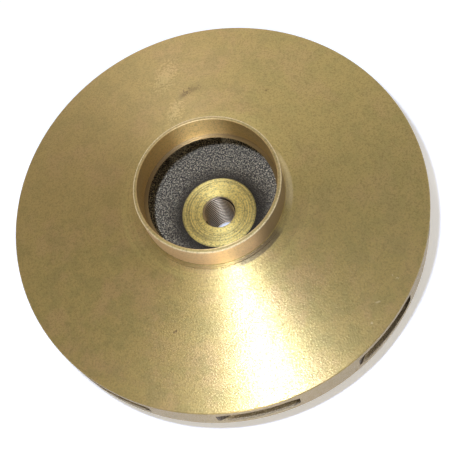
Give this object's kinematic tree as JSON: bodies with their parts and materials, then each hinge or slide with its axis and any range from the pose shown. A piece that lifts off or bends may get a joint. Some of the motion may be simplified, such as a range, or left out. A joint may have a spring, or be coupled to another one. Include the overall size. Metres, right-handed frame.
{
  "type": "pump impeller",
  "caption": "Closed centrifugal pump impeller in cast bronze, with curved vanes between front and back shrouds, a turned suction neck and a threaded hub.",
  "frame": {"origin": "centre of the hub's back face, on the shaft axis", "axes": "+Z along the shaft axis, from the back of the hub towards the suction eye; an outlet is centred on +X"},
  "size_m": [0.14, 0.14, 0.0455],
  "materials": {
    "bronze": "fine-turned outside with a tarnished tint; sand-cast and dull inside the waterways"
  },
  "bodies": {
    "root": {"impeller": "bronze"}
  },
  "joints": []
}
